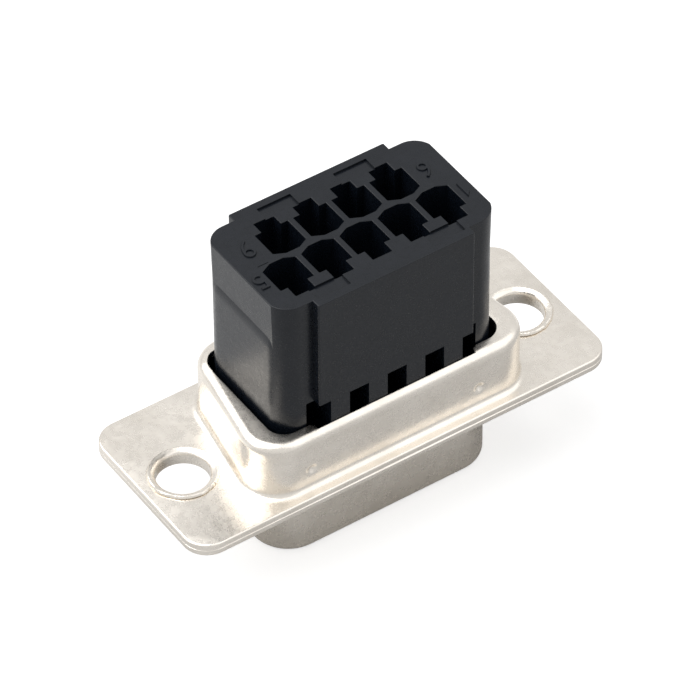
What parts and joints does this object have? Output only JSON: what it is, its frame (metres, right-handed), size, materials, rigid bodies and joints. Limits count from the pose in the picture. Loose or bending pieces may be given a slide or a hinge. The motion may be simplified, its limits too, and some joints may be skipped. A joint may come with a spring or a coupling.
{
  "type": "d-sub connector",
  "caption": "D-sub receptacle housing: two riveted steel shells with a D skirt, clamping a moulded insulator with open cavities for crimp contacts.",
  "frame": {"origin": "midway between the two mounting holes, on the mating face of the flange", "axes": "+X along the flange, +Y across it towards the shorter row of contacts, +Z from the mating side to the wiring side"},
  "size_m": [0.0308, 0.0124, 0.0211],
  "materials": {
    "plated_steel": "satin nickel plate on drawn steel, faintly grainy along the bends and cut edges",
    "black_plastic": "fine matte moulded thermoplastic, charcoal black"
  },
  "bodies": {
    "root": {"front_shell": "plated_steel", "rear_shell": "plated_steel", "insulator": "black_plastic"}
  },
  "joints": []
}
